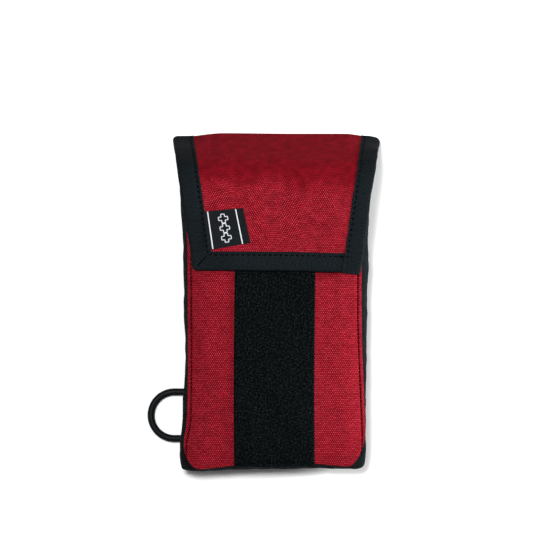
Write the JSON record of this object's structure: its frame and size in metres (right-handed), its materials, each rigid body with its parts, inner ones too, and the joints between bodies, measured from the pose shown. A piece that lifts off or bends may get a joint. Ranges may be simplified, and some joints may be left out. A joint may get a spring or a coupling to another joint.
{
  "type": "first aid kit",
  "caption": "Soft red and black first aid pouch with a fold-over flap, hook and loop closure, a side D-ring and packed dressings, bandages and tape inside.",
  "frame": {"origin": "centre of the back panel's outer face, on the surface the pouch lies on", "axes": "+Y from the bottom seam to the flap's fold, +Z from the back panel to the front, +X to the right seen from the front"},
  "size_m": [0.145, 0.2117, 0.0444],
  "materials": {
    "black_canvas": "matt plain-weave black polyamide canvas",
    "red_canvas": "matt plain-weave red polyamide canvas, coated behind",
    "loop_tape": "black brushed loop tape",
    "hook_tape": "black moulded hook tape",
    "binding_tape": "black ribbed binding tape",
    "lining": "grey coated lining cloth",
    "webbing": "black woven webbing",
    "ring_plastic": "satin moulded black acetal",
    "label_weave": "black damask label with white threads",
    "gauze": "open white cotton gauze",
    "crepe": "tan elastic crepe",
    "plaster_tape": "white zinc oxide cloth tape",
    "core_plastic": "white moulded plastic",
    "foil_film": "silvered film, folded",
    "clear_film": "clear film over blue gloves",
    "sachet_paper": "coated paper sachet with sealed edges",
    "foil_sachet": "pale blue laminated foil sachet",
    "steel": "brushed stainless steel"
  },
  "bodies": {
    "pouch": {"back_panel": "black_canvas", "gusset_left": "black_canvas", "gusset_right": "black_canvas", "gusset_bottom": "black_canvas", "front_panel": "red_canvas", "loop_strip": "loop_tape", "mouth_binding": "binding_tape", "back_lining": "lining", "front_lining": "lining", "ring_tab": "webbing", "gauze_roll": "gauze", "elastic_bandage": "crepe", "tape_roll": "plaster_tape", "tape_core": "core_plastic", "foil_blanket": "foil_film", "glove_packet": "clear_film", "wound_dressings": "sachet_paper", "triangular_bandage": "gauze", "plaster_strips": "sachet_paper", "wipe_sachets": "foil_sachet", "tweezers": "steel"},
    "flap_crown": {"crown_shell": "red_canvas", "crown_lining": "lining", "crown_binding_left": "binding_tape", "crown_binding_right": "binding_tape"},
    "flap_face": {"flap_shell": "red_canvas", "flap_lining": "lining", "flap_binding_left": "binding_tape", "flap_binding_right": "binding_tape", "flap_binding_bottom": "binding_tape", "hook_patch": "hook_tape"},
    "label": {"woven_label": "label_weave"},
    "ring": {"d_ring": "ring_plastic"}
  },
  "joints": [
    {"name": "crown_fold", "type": "hinge", "parent": "pouch", "child": "flap_crown", "pos_m": [0, 0.1079, 0], "axis": [-1, 0, 0], "range_deg": [0, 120]},
    {"name": "flap_lift", "type": "hinge", "parent": "flap_crown", "child": "flap_face", "pos_m": [0, 0.0825, 0.044], "axis": [-1, 0, 0], "range_deg": [0, 60]},
    {"name": "label_flip", "type": "hinge", "parent": "flap_face", "child": "label", "pos_m": [-0.0439, 0.0568, 0.0444], "axis": [0.1564, -0.9877, 0], "range_deg": [0, 150]},
    {"name": "ring_swing", "type": "hinge", "parent": "pouch", "child": "ring", "pos_m": [-0.0556, -0.0716, 0.003], "axis": [0, 1, 0], "range_deg": [0, 60]}
  ]
}
